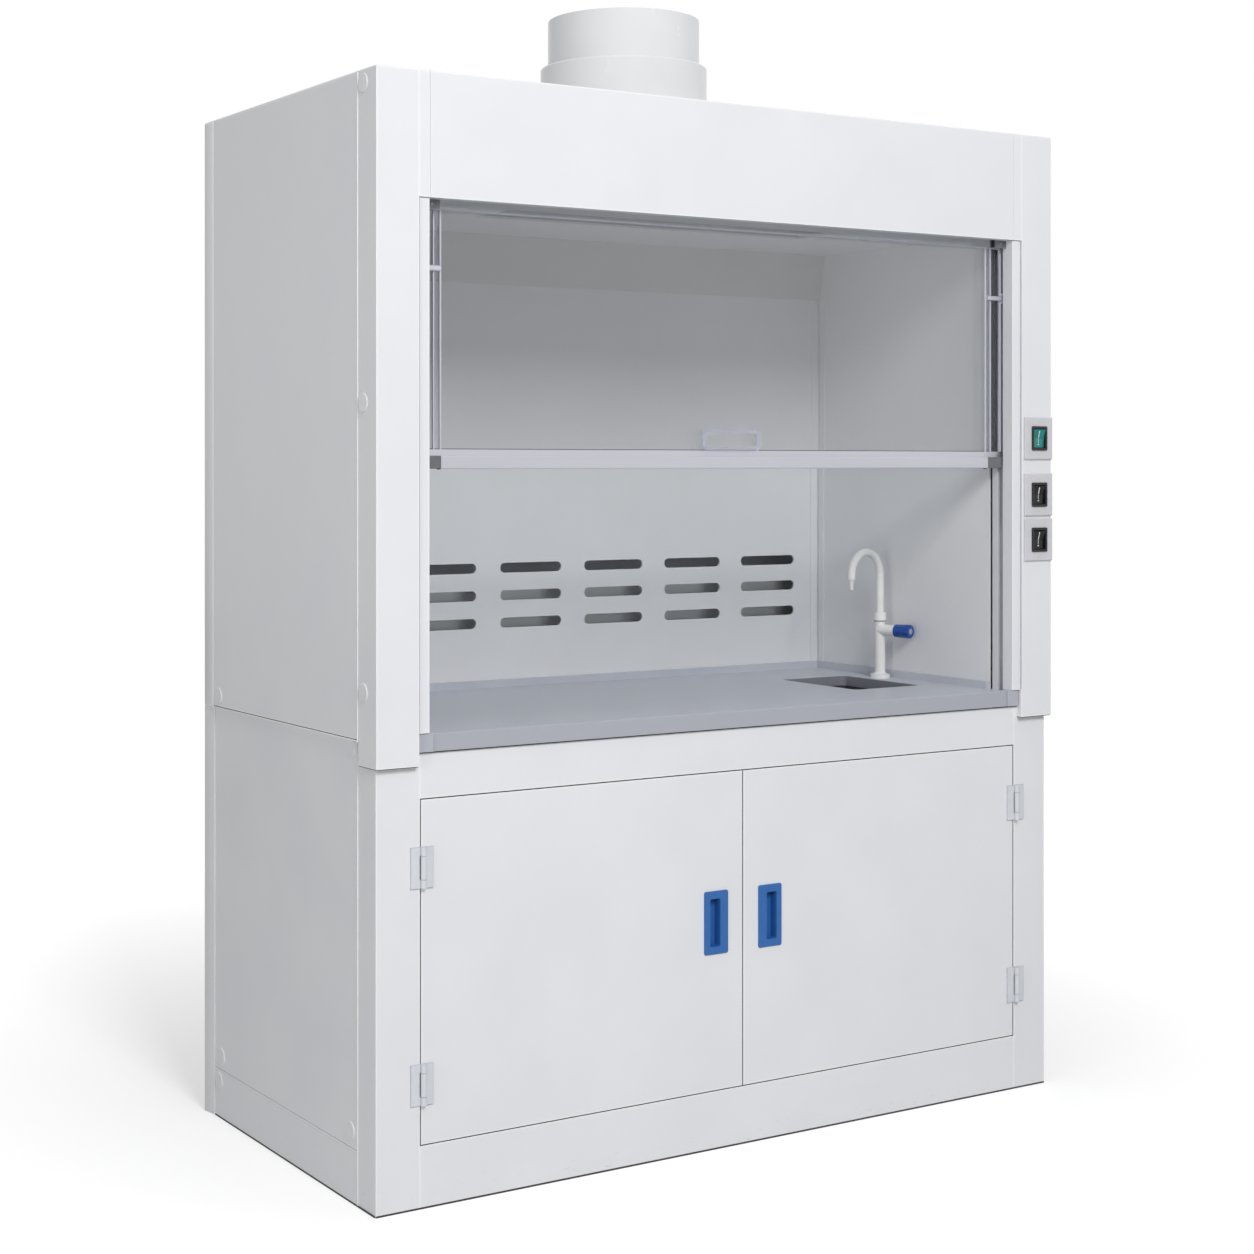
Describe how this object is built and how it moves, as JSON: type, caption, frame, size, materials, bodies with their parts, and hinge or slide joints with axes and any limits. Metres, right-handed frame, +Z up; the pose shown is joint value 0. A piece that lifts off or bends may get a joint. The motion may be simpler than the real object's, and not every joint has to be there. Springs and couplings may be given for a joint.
{
  "type": "fume hood",
  "caption": "Floor-standing laboratory fume hood with a counterweighted vertical sash, sink, swan-neck tap, base cabinet with doors and round duct collar.",
  "frame": {"origin": "on the floor, in the middle of the whole outline in X and Y", "axes": "+Z up, +X to the user's right, +Y from the sash front to the back panel"},
  "size_m": [1.8064, 0.859, 2.51],
  "materials": {
    "powder_coated_steel": "satin powder coat",
    "pull_plastic": "moulded, semi gloss",
    "aluminium": "satin anodised",
    "worktop_resin": "cast resin, satin",
    "worktop_trim": "moulded, satin",
    "sink_plastic": "moulded polypropylene, matte",
    "tap_coating": "gloss epoxy coating on brass",
    "nozzle_plastic": "moulded",
    "knob_plastic": "moulded, gloss",
    "liner_board": "resin board, satin",
    "lamp_plastic": "moulded",
    "lamp_glass": "white coated tube",
    "clear_glass": "toughened, clear",
    "duct_plastic": "extruded rigid plastic",
    "sash_trim": "moulded, matte",
    "clear_acrylic": "cast clear acrylic, polished",
    "belt_rubber": "matte",
    "drive_steel": "zinc plated",
    "weight_iron": "painted dark grey",
    "plate_plastic": "satin",
    "switch_plastic": "semi gloss",
    "green_plastic": "semi gloss",
    "plug_plastic": "satin"
  },
  "bodies": {
    "cabinet": {"lower_posts": "powder_coated_steel", "lower_side_panels": "powder_coated_steel", "rear_posts": "powder_coated_steel", "front_rail": "powder_coated_steel", "plinth": "powder_coated_steel", "cabinet_floor": "powder_coated_steel", "back_panels": "powder_coated_steel", "upper_posts": "powder_coated_steel", "upper_side_panels": "powder_coated_steel", "header": "powder_coated_steel", "jambs": "powder_coated_steel", "top_panel": "powder_coated_steel", "lamp_housing": "powder_coated_steel", "hinge_frame_leaves": "aluminium", "sash_tracks": "aluminium", "pane_holders": "aluminium", "worktop": "worktop_resin", "worktop_end_blocks": "worktop_trim", "sink_bowl": "sink_plastic", "sink_trap": "sink_plastic", "tap_body": "tap_coating", "liners": "liner_board", "baffle_main": "liner_board", "baffle_upper": "liner_board", "ceiling_panel": "liner_board", "corner_strips": "liner_board", "lamp_holders": "lamp_plastic", "lamp_tube": "lamp_glass", "lamp_window": "clear_glass", "fixed_pane": "clear_glass", "duct_collar": "duct_plastic", "duct_pipe": "duct_plastic", "belts": "belt_rubber", "pulley_brackets": "drive_steel", "switch_plates": "plate_plastic", "switch_bezels": "switch_plastic", "hole_plugs": "plug_plastic"},
    "sash": {"sash_glass": "clear_glass", "sash_rail": "aluminium", "sash_end_blocks": "sash_trim", "sash_stiles": "aluminium", "sash_handle": "clear_acrylic", "belt_clamps": "aluminium"},
    "counterweight_left": {"counterweight_left": "weight_iron"},
    "counterweight_right": {"counterweight_right": "weight_iron"},
    "drive_shaft": {"drive_shaft": "drive_steel"},
    "lower_pulley_left": {"lower_pulley_left": "drive_steel"},
    "lower_pulley_right": {"lower_pulley_right": "drive_steel"},
    "door_left": {"door_left": "powder_coated_steel", "pull_left": "pull_plastic", "hinge_door_left": "aluminium"},
    "door_right": {"door_right": "powder_coated_steel", "pull_right": "pull_plastic", "hinge_door_right": "aluminium"},
    "rocker_upper": {"rocker_upper": "green_plastic"},
    "rocker_middle": {"rocker_middle": "switch_plastic"},
    "rocker_lower": {"rocker_lower": "switch_plastic"},
    "tap_spout": {"tap_spout": "tap_coating", "tap_nozzle": "nozzle_plastic"},
    "tap_knob": {"tap_knob": "knob_plastic"}
  },
  "joints": [
    {"name": "sash_slide", "type": "slide", "parent": "cabinet", "child": "sash", "axis": [0, 0, 1], "range_m": [-0.524, 0.23]},
    {"name": "counterweight_left_slide", "type": "slide", "parent": "cabinet", "child": "counterweight_left", "axis": [0, 0, 1], "range_m": [-0.23, 0.524]},
    {"name": "counterweight_right_slide", "type": "slide", "parent": "cabinet", "child": "counterweight_right", "axis": [0, 0, 1], "range_m": [-0.23, 0.524]},
    {"name": "drive_shaft_turn", "type": "hinge", "parent": "cabinet", "child": "drive_shaft", "pos_m": [0, -0.3425, 2.168], "axis": [1, 0, 0], "range_deg": [-430, 975]},
    {"name": "lower_pulley_left_turn", "type": "hinge", "parent": "cabinet", "child": "lower_pulley_left", "pos_m": [-0.812, -0.3425, 1.002], "axis": [1, 0, 0], "range_deg": [-430, 975]},
    {"name": "lower_pulley_right_turn", "type": "hinge", "parent": "cabinet", "child": "lower_pulley_right", "pos_m": [0.812, -0.3425, 1.002], "axis": [1, 0, 0], "range_deg": [-430, 975]},
    {"name": "door_left_hinge", "type": "hinge", "parent": "cabinet", "child": "door_left", "pos_m": [-0.79, -0.4109, 0.4615], "axis": [0, 0, -1], "range_deg": [0, 110]},
    {"name": "door_right_hinge", "type": "hinge", "parent": "cabinet", "child": "door_right", "pos_m": [0.8, -0.4109, 0.4615], "axis": [0, 0, 1], "range_deg": [0, 110]},
    {"name": "rocker_upper_press", "type": "hinge", "parent": "cabinet", "child": "rocker_upper", "pos_m": [0.856, -0.4235, 1.5345], "axis": [-1, 0, 0], "range_deg": [0, 16]},
    {"name": "rocker_middle_press", "type": "hinge", "parent": "cabinet", "child": "rocker_middle", "pos_m": [0.856, -0.4235, 1.4015], "axis": [-1, 0, 0], "range_deg": [0, 16]},
    {"name": "rocker_lower_press", "type": "hinge", "parent": "cabinet", "child": "rocker_lower", "pos_m": [0.856, -0.4235, 1.295], "axis": [-1, 0, 0], "range_deg": [0, 16]},
    {"name": "tap_spout_swivel", "type": "hinge", "parent": "cabinet", "child": "tap_spout", "pos_m": [0.74, 0.0095, 1.2], "axis": [0, 0, 1], "range_deg": [-110, 80]},
    {"name": "tap_knob_turn", "type": "hinge", "parent": "cabinet", "child": "tap_knob", "pos_m": [0.74, 0.0095, 1.058], "axis": [0.2588, -0.9659, 0], "range_deg": [0, 180]}
  ],
  "couplings": [
    {"joint": "counterweight_left_slide", "follows": "sash_slide", "ratio": -1},
    {"joint": "counterweight_right_slide", "follows": "sash_slide", "ratio": -1},
    {"joint": "drive_shaft_turn", "follows": "sash_slide", "rad_per_m": -32.258},
    {"joint": "lower_pulley_left_turn", "follows": "sash_slide", "rad_per_m": -32.258},
    {"joint": "lower_pulley_right_turn", "follows": "sash_slide", "rad_per_m": -32.258}
  ]
}
